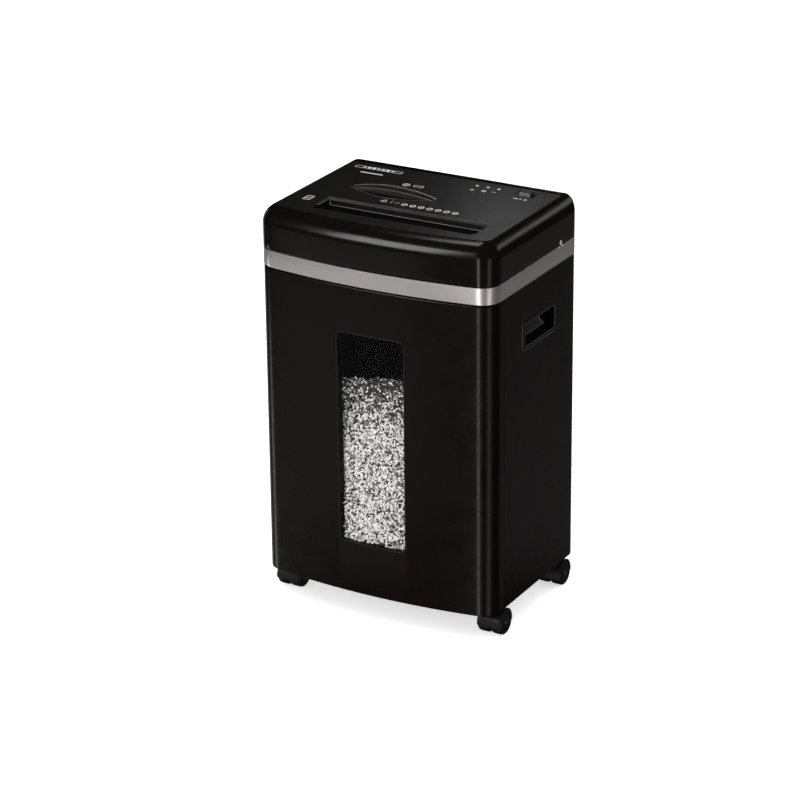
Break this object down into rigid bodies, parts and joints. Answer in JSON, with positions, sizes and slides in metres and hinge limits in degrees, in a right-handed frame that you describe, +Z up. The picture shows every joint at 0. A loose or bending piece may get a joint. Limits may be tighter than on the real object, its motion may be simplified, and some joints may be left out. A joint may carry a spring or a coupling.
{
  "type": "paper shredder",
  "caption": "Wheeled office paper shredder: black cabinet with a pull-out bin and window, silver band, cutting head with paper and card slots.",
  "frame": {"origin": "centre of the overall box on the floor, under the casters", "axes": "+Z up, -Y towards the bowed front with the window, +X to the side of the switch"},
  "size_m": [0.37, 0.2763, 0.601],
  "materials": {
    "body_plastic": "satin black",
    "inner_plastic": "matte black",
    "gloss_black": "high gloss black",
    "panel_black": "fine matte grain",
    "silver_trim": "satin silver paint",
    "clear_window": "clear smoked",
    "shredded_paper": "loose confetti",
    "steel": "zinc plated",
    "dark_steel": "black",
    "cutter_steel": "ground and oiled",
    "gear_steel": "machined",
    "gear_nylon": "natural nylon",
    "bronze": "sintered",
    "motor_paint": "black stoved",
    "motor_core": "laminations",
    "circuit_board": "solder mask",
    "rubber": "matte",
    "caster_plastic": "satin black",
    "button_grey": "satin",
    "lamp_lens": "clear",
    "badge_metal": "satin"
  },
  "bodies": {
    "root": {"cabinet_shell": "body_plastic", "base_plate": "body_plastic", "caster_sockets": "dark_steel", "base_screws": "steel", "grip_cup_right": "body_plastic", "grip_cup_left": "body_plastic", "head_cover": "gloss_black", "top_panel": "panel_black", "throat_insert": "gloss_black", "card_slot_guide": "gloss_black", "switch_bezel": "gloss_black", "switch_body": "inner_plastic", "indicator_lenses": "lamp_lens", "badge_plate": "badge_metal", "silver_band": "silver_trim", "head_base": "inner_plastic", "side_plate_left": "steel", "side_plate_right": "steel", "cutter_bearings": "bronze", "tie_rods": "steel", "feed_chute": "inner_plastic", "paper_sensor": "inner_plastic", "interlock_switch": "inner_plastic", "control_board": "circuit_board", "cord_gland": "rubber", "stripper_comb_front": "inner_plastic", "stripper_comb_rear": "inner_plastic", "gearbox_cover": "inner_plastic", "motor_can": "motor_paint"},
    "bin": {"bin_front": "body_plastic", "window_pane": "clear_window", "window_frame": "inner_plastic", "bin_tub": "inner_plastic", "paper_shreds": "shredded_paper"},
    "switch_slider": {"power_switch": "button_grey"},
    "front_cutter": {"cutter_discs_front": "cutter_steel", "cutter_shaft_front": "cutter_steel", "sync_gear_front": "gear_steel"},
    "rear_cutter": {"cutter_discs_rear": "cutter_steel", "cutter_shaft_rear": "cutter_steel", "sync_gear_rear": "gear_steel", "final_gear": "gear_nylon"},
    "idler": {"idler_gear": "gear_nylon"},
    "rotor": {"motor_rotor": "motor_core", "motor_pinion": "gear_steel", "cooling_fan": "inner_plastic"},
    "sensor_flag": {"paper_flag": "inner_plastic"},
    "interlock": {"interlock_plunger": "button_grey"},
    "caster_front_left": {"caster_hood_front_left": "caster_plastic", "caster_stem_front_left": "steel"},
    "wheels_front_left": {"caster_wheels_front_left": "caster_plastic"},
    "caster_front_right": {"caster_hood_front_right": "caster_plastic", "caster_stem_front_right": "steel"},
    "wheels_front_right": {"caster_wheels_front_right": "caster_plastic"},
    "caster_rear_left": {"caster_hood_rear_left": "caster_plastic", "caster_stem_rear_left": "steel"},
    "wheels_rear_left": {"caster_wheels_rear_left": "caster_plastic"},
    "caster_rear_right": {"caster_hood_rear_right": "caster_plastic", "caster_stem_rear_right": "steel"},
    "wheels_rear_right": {"caster_wheels_rear_right": "caster_plastic"}
  },
  "joints": [
    {"name": "bin_slide", "type": "slide", "parent": "root", "child": "bin", "axis": [0, -1, 0], "range_m": [0, 0.24]},
    {"name": "switch_slide", "type": "slide", "parent": "root", "child": "switch_slider", "axis": [1, 0, 0], "range_m": [-0.004, 0.004]},
    {"name": "front_cutter_spin", "type": "hinge", "parent": "root", "child": "front_cutter", "pos_m": [0, -0.053, 0.506], "axis": [1, 0, 0], "continuous": true},
    {"name": "rear_cutter_spin", "type": "hinge", "parent": "root", "child": "rear_cutter", "pos_m": [0, -0.017, 0.506], "axis": [1, 0, 0], "continuous": true},
    {"name": "idler_spin", "type": "hinge", "parent": "root", "child": "idler", "pos_m": [0, 0.02317, 0.52062], "axis": [1, 0, 0], "continuous": true},
    {"name": "rotor_spin", "type": "hinge", "parent": "root", "child": "rotor", "pos_m": [0, 0.04817, 0.52062], "axis": [1, 0, 0], "continuous": true},
    {"name": "flag_tilt", "type": "hinge", "parent": "root", "child": "sensor_flag", "pos_m": [0, -0.07, 0.548], "axis": [1, 0, 0], "range_deg": [-25, 0], "stiffness_Nm_per_rad": 0.001, "springref_deg": 11.46},
    {"name": "interlock_press", "type": "slide", "parent": "root", "child": "interlock", "axis": [0, 0, 1], "range_m": [0, 0.003], "stiffness_N_per_m": 150, "springref_m": -0.002},
    {"name": "swivel_front_left", "type": "hinge", "parent": "root", "child": "caster_front_left", "pos_m": [-0.165, -0.063, 0.04], "axis": [0, 0, 1], "continuous": true},
    {"name": "roll_front_left", "type": "hinge", "parent": "caster_front_left", "child": "wheels_front_left", "pos_m": [-0.165, -0.076, 0.0185], "axis": [1, 0, 0], "continuous": true},
    {"name": "swivel_front_right", "type": "hinge", "parent": "root", "child": "caster_front_right", "pos_m": [0.165, -0.063, 0.04], "axis": [0, 0, 1], "continuous": true},
    {"name": "roll_front_right", "type": "hinge", "parent": "caster_front_right", "child": "wheels_front_right", "pos_m": [0.165, -0.076, 0.0185], "axis": [1, 0, 0], "continuous": true},
    {"name": "swivel_rear_left", "type": "hinge", "parent": "root", "child": "caster_rear_left", "pos_m": [-0.165, 0.122, 0.04], "axis": [0, 0, 1], "continuous": true},
    {"name": "roll_rear_left", "type": "hinge", "parent": "caster_rear_left", "child": "wheels_rear_left", "pos_m": [-0.165, 0.109, 0.0185], "axis": [1, 0, 0], "continuous": true},
    {"name": "swivel_rear_right", "type": "hinge", "parent": "root", "child": "caster_rear_right", "pos_m": [0.165, 0.122, 0.04], "axis": [0, 0, 1], "continuous": true},
    {"name": "roll_rear_right", "type": "hinge", "parent": "caster_rear_right", "child": "wheels_rear_right", "pos_m": [0.165, 0.109, 0.0185], "axis": [1, 0, 0], "continuous": true}
  ],
  "couplings": [
    {"joint": "idler_spin", "follows": "rotor_spin", "ratio": -0.25},
    {"joint": "rear_cutter_spin", "follows": "rotor_spin", "ratio": 0.066667},
    {"joint": "front_cutter_spin", "follows": "rotor_spin", "ratio": -0.066667}
  ]
}
